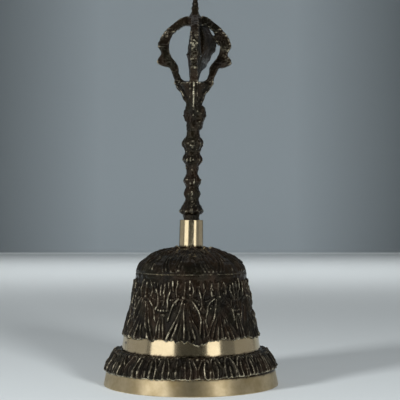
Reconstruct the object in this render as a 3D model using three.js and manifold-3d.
// Tibetan ritual hand bell: a cast bell body with bands of relief, a polished ferrule, a cast
// handle that ends in a cage of four prongs round a spindle, and a clapper hung inside.
//
// Millimetres. +Z is up, -Y is the front. The origin is the centre of the mouth, on the flat
// underside of the rim, so the bell stands on Z = 0.

import * as THREE from 'three';
import { mergeVertices } from 'three/addons/utils/BufferGeometryUtils.js';
import Module from 'manifold-3d';

const wasm = await Module();
wasm.setup();

// ---------------------------------------------------------------------------------------------
// Driving dimensions
// ---------------------------------------------------------------------------------------------

// Bell body, outside, from the rim up
const MOUTH_RADIUS = 39.2;
const RIM_BAND_HEIGHT = 7.0;
const RIM_BAND_TAPER = 1.4; // how far the rim band draws in over its height
const SKIRT_PROUD = 0.8; // how far the relief skirt's lip overhangs the rim band
const SKIRT_HEIGHT = 8.9;
const SKIRT_TAPER = 5.0;
const LEDGE_WIDTH = 2.4; // step from the skirt's top in to the neck band
const NECK_BAND_HEIGHT = 7.0;
const NECK_BAND_TAPER = 1.2;
const BODY_PROUD = 0.4; // how far the relief body stands out from the neck band
const BODY_HEIGHT = 27.3;
const SHOULDER_RADIUS = 25.0;
const DOME_HEIGHT = 10.8;
const CROWN_SEAT_RADIUS = 8.6;

// Bell body, walls
const RIM_WALL = 3.2;
const NECK_WALL = 2.6;
const SHOULDER_WALL = 2.6;
const CROWN_WALL = 3.2;
const CROWN_PAD_RADIUS = 8.0; // flat pad inside the crown, for the washer

// Handle
const LEAN_DEGREES = 1.0; // the handle leans a little towards +X
const FERRULE_LENGTH = 12.2;
const FERRULE_FOOT_RADIUS = 5.45;
const FERRULE_TOP_RADIUS = 5.25;
const STEM_NECK_RADIUS = 3.6;
const STEM_NECK_DEPTH = 10.6; // how deep the neck reaches into the ferrule
const HUB_RADIUS = 8.6;

// Turned rings of the stem: [height above the ferrule, radius], from the neck up to the hub
const STEM_OUTLINE = [
  [2.2, STEM_NECK_RADIUS], [2.8, 4.7], [4.4, 5.3], [7.1, 3.8], [9.4, 3.2], [11.8, 3.8],
  [14.6, 2.8], [17.6, 3.75], [20.9, 2.7], [24.6, 3.2], [27.0, 4.5], [30.5, 3.2], [34.2, 4.75],
  [37.6, 3.3], [41.0, 2.9], [46.0, 3.1], [51.0, 3.4], [54.2, 4.2], [57.4, 5.5], [60.6, 7.9],
  [63.4, HUB_RADIUS],
];

// The small head carved in the stem, faced to -X
const HEAD_CENTRE = 48.9; // above the ferrule
const HEAD_OFFSET = -0.9; // towards the face
const HEAD_HALF_WIDTH = 3.7;
const HEAD_HALF_DEPTH = 3.7;
const HEAD_HALF_HEIGHT = 4.6;
const HAIR_CENTRE = 46.2;
const HAIR_OFFSET = 2.0;
const HAIR_HALF_WIDTH = 3.4;
const HAIR_HALF_DEPTH = 2.9;
const HAIR_HALF_HEIGHT = 6.6;

// Cage of prongs
const CAGE_HEIGHT = 28.0; // from the hub to the top of the prongs
const PRONG_THICKNESS = 3.4;
const BELLY_RADIUS = 16.5;
const BELLY_HEIGHT = 14.0; // above the hub
const BELLY_BAND = 5.0; // width of a prong's bow, seen from the side
const INNER_FULLNESS = 0.55; // bends the inside of the bow like an ellipse
const OUTER_FULLNESS = 0.34; // and its outside a little flatter
const NOTCH_RADIUS = 14.9;
const NOTCH_HEIGHT = 10.8;
const SNOUT_RADIUS = 16.9;
const SNOUT_HEIGHT = 7.2;
const JAW_RADIUS = 11.4;
const JAW_HEIGHT = 4.4;
const WAIST_RADIUS = 7.2; // inside of the bow, where it turns down to the hub
const WAIST_HEIGHT = 2.0;
const FOOT_INNER_RADIUS = 5.2;
const COLLAR_RADIUS = 3.9; // of the joint that gathers the prongs
const COLLAR_HEIGHT = 4.6;
const FINIAL_HEIGHT = 9.0;
const FINIAL_FOOT_RADIUS = 1.7;
const SPINDLE_RADIUS = 3.3;
const SPINDLE_END_RADIUS = 1.9;
const BACK_PRONG_TURN = 36; // degrees that the back prong's bow is bent round towards +X
const BACK_PRONG_BAND = 11.2; // it was cast as a broad leaf

// Clapper and its hanger
const BOLT_RADIUS = 2.0;
const BOLT_GRIP = 8.6; // length of the bolt inside the stem's neck
const NUT_HALF_FLATS = 3.5;
const NUT_HEIGHT = 3.0;
const WASHER_RADIUS = 5.0;
const WASHER_THICKNESS = 0.9;
const EYE_RADIUS = 3.0; // to the middle of its wire
const EYE_WIRE = 1.0; // wire radius
const RING_RADIUS = 3.2;
const RING_WIRE = 0.8;
const LOOP_RADIUS = 2.8;
const LOOP_WIRE = 0.9;
const ROD_RADIUS = 1.1;
const BOB_RADIUS = 6.0;
const BOB_FLAT = 4.9; // half height of the bob between its turned ends
const BOB_CENTRE = 10.4; // above the mouth
const PEEN_RADIUS = 1.9;
const PEEN_HEIGHT = 1.0;

// Clearances
const SEAT_GAP = 0.3; // between cast pieces that touch
const FLAT_GAP = 0.05; // between machined faces that bear on each other
const BORE_CLEARANCE = 0.3; // round the bolt and in the ferrule
const LINK_PLAY = 0.05; // between wires that hang in each other
const ROD_CLEARANCE = 0.1; // between the rod and the bob's bore

// ---------------------------------------------------------------------------------------------
// Places worked out from them
// ---------------------------------------------------------------------------------------------

const LEAN = THREE.MathUtils.degToRad(LEAN_DEGREES);
const SKIRT_FOOT = RIM_BAND_HEIGHT;
const SKIRT_TOP = SKIRT_FOOT + SKIRT_HEIGHT;
const NECK_TOP = SKIRT_TOP + NECK_BAND_HEIGHT;
const SHOULDER = NECK_TOP + BODY_HEIGHT;
const CROWN = SHOULDER + DOME_HEIGHT;
const CROWN_UNDERSIDE = CROWN - CROWN_WALL;

const RIM_TOP_RADIUS = MOUTH_RADIUS - RIM_BAND_TAPER;
const SKIRT_LIP_RADIUS = RIM_TOP_RADIUS + SKIRT_PROUD;
const SKIRT_TOP_RADIUS = SKIRT_LIP_RADIUS - SKIRT_TAPER;
const NECK_FOOT_RADIUS = SKIRT_TOP_RADIUS - LEDGE_WIDTH;
const NECK_TOP_RADIUS = NECK_FOOT_RADIUS - NECK_BAND_TAPER;
const BODY_FOOT_RADIUS = NECK_TOP_RADIUS + BODY_PROUD;

// Heights in the handle are measured from the middle of the crown, about which it leans
const FERRULE_FOOT = SEAT_GAP + FERRULE_FOOT_RADIUS * Math.sin(LEAN);
const FERRULE_TOP = FERRULE_FOOT + FERRULE_LENGTH;
const HUB_TOP = FERRULE_TOP + STEM_OUTLINE.at(-1)[0];
const PRONG_FOOT = HUB_TOP + SEAT_GAP;
const PRONG_TOP = PRONG_FOOT + CAGE_HEIGHT;
const COLLAR_FOOT = PRONG_TOP - COLLAR_HEIGHT;
const PRONG_TOP_RADIUS = COLLAR_RADIUS + SEAT_GAP;

const WASHER_TOP = CROWN_UNDERSIDE - FLAT_GAP;
const NUT_TOP = WASHER_TOP - WASHER_THICKNESS - FLAT_GAP;
const NUT_FOOT = NUT_TOP - NUT_HEIGHT;
const EYE_CENTRE = NUT_FOOT - EYE_RADIUS - EYE_WIRE;
const RING_TOP = EYE_CENTRE - EYE_RADIUS + EYE_WIRE + LINK_PLAY + RING_WIRE; // the ring's hinge
const RING_CENTRE = RING_TOP - RING_RADIUS;
const RING_FOOT = RING_CENTRE - RING_RADIUS;
const LOOP_TOP = RING_FOOT + RING_WIRE + LINK_PLAY + LOOP_WIRE; // the clapper's hinge
const LOOP_CENTRE = LOOP_TOP - LOOP_RADIUS;
const BOB_FOOT = BOB_CENTRE - BOB_FLAT;

// ---------------------------------------------------------------------------------------------
// Materials
// ---------------------------------------------------------------------------------------------

const metal = (color, roughness, metalness = 1) =>
  new THREE.MeshStandardMaterial({ color, roughness, metalness });

const patinatedBronze = () => metal('#3a3226', 0.5, 0.85);
const polishedBrass = () => metal('#b99c62', 0.22);
const dullBrass = () => metal('#8d7443', 0.4);
const steel = () => metal('#8a8b8a', 0.45);

// ---------------------------------------------------------------------------------------------
// Geometry helpers
// ---------------------------------------------------------------------------------------------

const point = (radius, height) => new THREE.Vector2(radius, height);

// A turned solid about Z from an outline of radius and height
function turned(outline, segments) {
  return new THREE.LatheGeometry(outline, segments).rotateX(Math.PI / 2);
}

// A plain washer or sleeve, whose outside may taper
function sleeve(innerRadius, footRadius, topRadius, height, segments) {
  return turned([
    point(innerRadius, 0),
    point(footRadius, 0),
    point(topRadius, height),
    point(innerRadius, height),
    point(innerRadius, 0),
  ], segments);
}

function ellipsoid(halfX, halfY, halfZ) {
  return new THREE.SphereGeometry(1, 16, 12).rotateX(Math.PI / 2).scale(halfX, halfY, halfZ);
}

// A ring of wire round the Y axis, or round the X axis when it is turned
function wireRing(radius, wire, turnedToX = false) {
  const ring = new THREE.TorusGeometry(radius, wire, 10, 28).rotateX(Math.PI / 2);
  return turnedToX ? ring.rotateZ(Math.PI / 2) : ring;
}

function rod(radius, foot, top, segments = 20) {
  const height = top - foot;
  const geometry = new THREE.CylinderGeometry(radius, radius, height, segments);
  return geometry.rotateX(Math.PI / 2).translate(0, 0, foot + height / 2);
}

// Turns a closed geometry into a solid that can be joined and cut
function toSolid(geometry) {
  const bare = geometry.clone();
  bare.deleteAttribute('normal');
  bare.deleteAttribute('uv');
  const merged = mergeVertices(bare, 1e-4);
  const corners = merged.index.array;
  const triangles = [];
  for (let i = 0; i < corners.length; i += 3) {
    const [a, b, c] = [corners[i], corners[i + 1], corners[i + 2]];
    if (a !== b && b !== c && c !== a) {
      triangles.push(a, b, c);
    }
  }
  return new wasm.Manifold(new wasm.Mesh({
    numProp: 3,
    vertProperties: new Float32Array(merged.attributes.position.array),
    triVerts: new Uint32Array(triangles),
  }));
}

function toGeometry(solid) {
  const { vertProperties, triVerts } = solid.getMesh();
  const geometry = new THREE.BufferGeometry();
  geometry.setAttribute('position', new THREE.BufferAttribute(vertProperties, 3));
  geometry.setIndex(new THREE.BufferAttribute(triVerts, 1));
  geometry.computeVertexNormals();
  return geometry;
}

function joined(...geometries) {
  const solids = geometries.map(toSolid);
  return toGeometry(solids.reduce((whole, next) => whole.add(next)));
}

function piece(name, geometry, material) {
  const mesh = new THREE.Mesh(geometry, material);
  mesh.name = name;
  return mesh;
}

// ---------------------------------------------------------------------------------------------
// Bell body
// ---------------------------------------------------------------------------------------------

// The wall from the rim, up the outside to the crown, and down the inside
function bellShell() {
  const body = new THREE.QuadraticBezierCurve(
    point(BODY_FOOT_RADIUS, NECK_TOP),
    point(SHOULDER_RADIUS + 0.3 * (BODY_FOOT_RADIUS - SHOULDER_RADIUS), NECK_TOP + 0.4 * BODY_HEIGHT),
    point(SHOULDER_RADIUS, SHOULDER),
  );
  const dome = new THREE.CubicBezierCurve(
    point(SHOULDER_RADIUS, SHOULDER),
    point(SHOULDER_RADIUS, SHOULDER + 0.42 * DOME_HEIGHT),
    point(SHOULDER_RADIUS - 0.4 * (SHOULDER_RADIUS - CROWN_SEAT_RADIUS), CROWN - 0.2 * DOME_HEIGHT),
    point(CROWN_SEAT_RADIUS, CROWN),
  );
  const innerShoulder = SHOULDER_RADIUS - SHOULDER_WALL;
  const innerDome = new THREE.CubicBezierCurve(
    point(CROWN_PAD_RADIUS, CROWN_UNDERSIDE),
    point(innerShoulder - 0.45 * (innerShoulder - CROWN_PAD_RADIUS), CROWN_UNDERSIDE - 0.2 * DOME_HEIGHT),
    point(innerShoulder, SHOULDER - SHOULDER_WALL + 0.42 * DOME_HEIGHT),
    point(innerShoulder, SHOULDER - SHOULDER_WALL),
  );
  const innerBody = new THREE.QuadraticBezierCurve(
    point(innerShoulder, SHOULDER - SHOULDER_WALL),
    point(innerShoulder + 0.3 * (NECK_TOP_RADIUS - SHOULDER_RADIUS), NECK_TOP + 0.4 * BODY_HEIGHT),
    point(NECK_TOP_RADIUS - NECK_WALL, NECK_TOP),
  );
  const innerMouth = new THREE.CubicBezierCurve(
    point(NECK_TOP_RADIUS - NECK_WALL, NECK_TOP),
    point(NECK_FOOT_RADIUS - NECK_WALL, SKIRT_TOP),
    point(RIM_TOP_RADIUS - RIM_WALL, RIM_BAND_HEIGHT),
    point(MOUTH_RADIUS - RIM_WALL, 0),
  );
  const boltHole = BOLT_RADIUS + BORE_CLEARANCE;
  return turned([
    point(MOUTH_RADIUS - RIM_WALL, 0),
    point(MOUTH_RADIUS, 0),
    point(RIM_TOP_RADIUS, RIM_BAND_HEIGHT),
    point(SKIRT_LIP_RADIUS, SKIRT_FOOT + 0.2),
    point(SKIRT_LIP_RADIUS - 0.2 * SKIRT_TAPER, SKIRT_FOOT + 0.35 * SKIRT_HEIGHT),
    point(SKIRT_TOP_RADIUS, SKIRT_TOP),
    point(NECK_FOOT_RADIUS, SKIRT_TOP - 0.5),
    point(NECK_TOP_RADIUS, NECK_TOP),
    ...body.getPoints(5),
    ...dome.getPoints(7).slice(1),
    point(boltHole, CROWN),
    point(boltHole, CROWN_UNDERSIDE),
    ...innerDome.getPoints(5),
    ...innerBody.getPoints(4).slice(1),
    ...innerMouth.getPoints(5).slice(1),
  ], 56);
}

// ---------------------------------------------------------------------------------------------
// Handle
// ---------------------------------------------------------------------------------------------

function ferrule() {
  const bore = STEM_NECK_RADIUS + BORE_CLEARANCE;
  return sleeve(bore, FERRULE_FOOT_RADIUS, FERRULE_TOP_RADIUS, FERRULE_LENGTH, 36);
}

// One casting: neck, rings, the small head and the hub, bored from below for the bolt.
// The bolt stands upright in the leaning stem, so the bore is wider by what that takes.
function handleStem() {
  const neckFoot = FERRULE_TOP - STEM_NECK_DEPTH;
  const boreTop = neckFoot + BOLT_GRIP + SEAT_GAP;
  const boreRadius = BOLT_RADIUS + BORE_CLEARANCE + boreTop * Math.sin(LEAN);
  const rings = new THREE.SplineCurve(
    STEM_OUTLINE.map(([height, radius]) => point(radius, FERRULE_TOP + height)),
  );
  const stem = turned([
    point(0, boreTop),
    point(boreRadius, boreTop),
    point(boreRadius, neckFoot),
    point(STEM_NECK_RADIUS, neckFoot),
    ...rings.getPoints(46),
    point(0, HUB_TOP),
  ], 20);
  const head = ellipsoid(HEAD_HALF_DEPTH, HEAD_HALF_WIDTH, HEAD_HALF_HEIGHT)
    .translate(HEAD_OFFSET, 0, FERRULE_TOP + HEAD_CENTRE);
  const hair = ellipsoid(HAIR_HALF_DEPTH, HAIR_HALF_WIDTH, HAIR_HALF_HEIGHT)
    .translate(HAIR_OFFSET, 0, FERRULE_TOP + HAIR_CENTRE);
  return joined(stem, head, hair);
}

// Bends between two points; the bow runs upright at its start, its end or both, or else level
function bow(shape, from, to, fullness, upright) {
  const rise = fullness * (to.y - from.y);
  const reach = fullness * (to.x - from.x);
  const start = upright === 'end' ? point(from.x + reach, from.y) : point(from.x, from.y + rise);
  const end = upright === 'start' ? point(to.x - reach, to.y) : point(to.x, to.y - rise);
  shape.bezierCurveTo(start.x, start.y, end.x, end.y, to.x, to.y);
}

// A prong's outline: a bow that swells to the belly, with a snout that points out below it
function prongShape(band) {
  const innerTop = point(PRONG_TOP_RADIUS, COLLAR_FOOT);
  const innerBelly = point(BELLY_RADIUS - band, PRONG_FOOT + BELLY_HEIGHT);
  const innerWaist = point(Math.min(WAIST_RADIUS, innerBelly.x), PRONG_FOOT + WAIST_HEIGHT);
  const innerFoot = point(Math.min(FOOT_INNER_RADIUS, innerBelly.x), PRONG_FOOT);
  const outerBelly = point(BELLY_RADIUS, PRONG_FOOT + BELLY_HEIGHT);
  const outerTop = point(PRONG_TOP_RADIUS, PRONG_TOP);
  const jaw = point(JAW_RADIUS, PRONG_FOOT + JAW_HEIGHT);

  const shape = new THREE.Shape();
  shape.moveTo(outerTop.x, outerTop.y);
  shape.lineTo(innerTop.x, innerTop.y);
  bow(shape, innerTop, innerBelly, INNER_FULLNESS, 'end');
  bow(shape, innerBelly, innerWaist, INNER_FULLNESS, 'both');
  shape.lineTo(innerFoot.x, innerFoot.y);
  shape.lineTo(HUB_RADIUS, PRONG_FOOT);
  shape.quadraticCurveTo(HUB_RADIUS, PRONG_FOOT + JAW_HEIGHT / 2, jaw.x, jaw.y);
  shape.lineTo(SNOUT_RADIUS, PRONG_FOOT + SNOUT_HEIGHT);
  shape.lineTo(NOTCH_RADIUS, PRONG_FOOT + NOTCH_HEIGHT);
  shape.lineTo(outerBelly.x, outerBelly.y);
  bow(shape, outerBelly, outerTop, OUTER_FULLNESS, 'start');
  return shape;
}

// The outline stood upright in the XZ plane, its bow towards +X
function prong(band) {
  const flat = new THREE.ExtrudeGeometry(prongShape(band), {
    depth: PRONG_THICKNESS,
    bevelEnabled: false,
    curveSegments: 9,
  });
  return flat.translate(0, 0, -PRONG_THICKNESS / 2).rotateX(Math.PI / 2);
}

// The back prong was bent: its foot stands square behind the spindle, its bow turns to one side
function bentProng(band, turn) {
  const geometry = prong(band);
  const positions = geometry.attributes.position;
  const corner = new THREE.Vector3();
  const up = new THREE.Vector3(0, 0, 1);
  for (let i = 0; i < positions.count; i += 1) {
    corner.fromBufferAttribute(positions, i);
    const share = THREE.MathUtils.smoothstep(corner.z, PRONG_FOOT, PRONG_FOOT + BELLY_HEIGHT + 2);
    corner.applyAxisAngle(up, -turn * share);
    positions.setXYZ(i, corner.x, corner.y, corner.z);
  }
  geometry.computeVertexNormals();
  return geometry;
}

// A slender lozenge up the middle of the cage
function centreSpindle() {
  const foot = PRONG_FOOT;
  const top = COLLAR_FOOT - SEAT_GAP;
  const middle = foot + 0.45 * (top - foot);
  return turned([
    point(0, foot),
    point(SPINDLE_END_RADIUS, foot),
    point(SPINDLE_RADIUS, middle),
    point(SPINDLE_END_RADIUS, top),
    point(0, top),
  ], 16);
}

// The joint that gathers the prongs, drawn out into a finial
function headTip() {
  const finial = new THREE.SplineCurve([
    point(1.4 * FINIAL_FOOT_RADIUS, PRONG_TOP + 0.08 * FINIAL_HEIGHT),
    point(FINIAL_FOOT_RADIUS, PRONG_TOP + 0.22 * FINIAL_HEIGHT),
    point(0.7 * FINIAL_FOOT_RADIUS, PRONG_TOP + 0.6 * FINIAL_HEIGHT),
    point(0.45 * FINIAL_FOOT_RADIUS, PRONG_TOP + 0.88 * FINIAL_HEIGHT),
    point(0, PRONG_TOP + FINIAL_HEIGHT),
  ]);
  return turned([
    point(0, COLLAR_FOOT),
    point(COLLAR_RADIUS, COLLAR_FOOT),
    point(COLLAR_RADIUS, PRONG_TOP),
    ...finial.getPoints(10),
  ], 20);
}

// ---------------------------------------------------------------------------------------------
// Clapper and its hanger
// ---------------------------------------------------------------------------------------------

// The bolt draws the handle down on the crown, and its eye carries the clapper's ring
function eyeBolt() {
  const neckFoot = FERRULE_TOP - STEM_NECK_DEPTH;
  const eye = wireRing(EYE_RADIUS, EYE_WIRE).translate(0, 0, EYE_CENTRE);
  const shank = rod(BOLT_RADIUS, NUT_FOOT - EYE_WIRE, CROWN + neckFoot + BOLT_GRIP);
  return joined(eye, shank);
}

// A hexagon nut with a round bore
function lockNut() {
  const corners = NUT_HALF_FLATS / Math.cos(Math.PI / 6);
  const hexagon = new THREE.Shape(
    [...Array(6).keys()].map((i) => point(corners, 0).rotateAround(point(0, 0), (i * Math.PI) / 3)),
  );
  const bore = new THREE.Path().absarc(0, 0, BOLT_RADIUS + ROD_CLEARANCE, 0, 2 * Math.PI, true);
  hexagon.holes.push(bore);
  return new THREE.ExtrudeGeometry(hexagon, { depth: NUT_HEIGHT, bevelEnabled: false });
}

function crownWasher() {
  return sleeve(BOLT_RADIUS + BORE_CLEARANCE, WASHER_RADIUS, WASHER_RADIUS, WASHER_THICKNESS, 32);
}

function hangerRing() {
  return wireRing(RING_RADIUS, RING_WIRE, true).translate(0, 0, RING_CENTRE);
}

// A wire rod, bent to a loop above the bob and peened over below it
function clapperRod() {
  const peenTop = BOB_FOOT - FLAT_GAP;
  const loop = wireRing(LOOP_RADIUS, LOOP_WIRE).translate(0, 0, LOOP_CENTRE);
  const shank = rod(ROD_RADIUS, peenTop - PEEN_HEIGHT / 2, LOOP_CENTRE - LOOP_RADIUS);
  const peen = turned([
    point(0, peenTop - PEEN_HEIGHT),
    point(PEEN_RADIUS - 0.6, peenTop - PEEN_HEIGHT),
    point(PEEN_RADIUS, peenTop - 0.4 * PEEN_HEIGHT),
    point(PEEN_RADIUS, peenTop),
    point(0, peenTop),
  ], 20);
  return joined(loop, shank, peen);
}

// A turned ball, flat at both ends, bored for the rod
function clapperBob() {
  const reach = Math.asin(BOB_FLAT / BOB_RADIUS);
  const bore = ROD_RADIUS + ROD_CLEARANCE;
  const outline = [point(bore, BOB_CENTRE - BOB_FLAT)];
  const steps = 12;
  for (let i = 0; i <= steps; i += 1) {
    const angle = THREE.MathUtils.lerp(-reach, reach, i / steps);
    outline.push(point(BOB_RADIUS * Math.cos(angle), BOB_CENTRE + BOB_RADIUS * Math.sin(angle)));
  }
  outline.push(point(bore, BOB_CENTRE + BOB_FLAT));
  outline.push(outline[0].clone());
  return turned(outline, 28);
}

// ---------------------------------------------------------------------------------------------
// Assembly
// ---------------------------------------------------------------------------------------------

// Everything above the crown leans together, about the middle of the crown
function handle() {
  const group = new THREE.Group();
  group.position.z = CROWN;
  group.rotation.y = LEAN;

  const sleeveMesh = piece('ferrule', ferrule(), polishedBrass());
  sleeveMesh.position.z = FERRULE_FOOT;
  group.add(sleeveMesh);
  group.add(piece('handle_stem', handleStem(), patinatedBronze()));

  const prongs = { prong_right: 0, prong_left: 180, prong_front: -90 };
  for (const [name, azimuth] of Object.entries(prongs)) {
    const mesh = piece(name, prong(BELLY_BAND), patinatedBronze());
    mesh.rotation.z = THREE.MathUtils.degToRad(azimuth);
    group.add(mesh);
  }
  const turn = THREE.MathUtils.degToRad(BACK_PRONG_TURN);
  const backProng = piece('prong_back', bentProng(BACK_PRONG_BAND, turn), patinatedBronze());
  backProng.rotation.z = Math.PI / 2;
  group.add(backProng);

  group.add(piece('centre_spindle', centreSpindle(), patinatedBronze()));
  group.add(piece('head_tip', headTip(), patinatedBronze()));
  return group;
}

function hanger() {
  const group = new THREE.Group();
  const washer = piece('crown_washer', crownWasher(), steel());
  washer.position.z = WASHER_TOP - WASHER_THICKNESS;
  const nut = piece('lock_nut', lockNut(), steel());
  nut.position.z = NUT_FOOT;
  group.add(piece('eye_bolt', eyeBolt(), steel()), washer, nut);
  return group;
}

function clapper() {
  const group = new THREE.Group();
  group.add(piece('clapper_rod', clapperRod(), steel()));
  group.add(piece('clapper_bob', clapperBob(), dullBrass()));
  return group;
}

const bell = new THREE.Group();
bell.add(piece('bell_shell', bellShell(), patinatedBronze()));
bell.add(handle());
bell.add(hanger());
bell.add(piece('hanger_ring', hangerRing(), steel()));
bell.add(clapper());

export default bell;
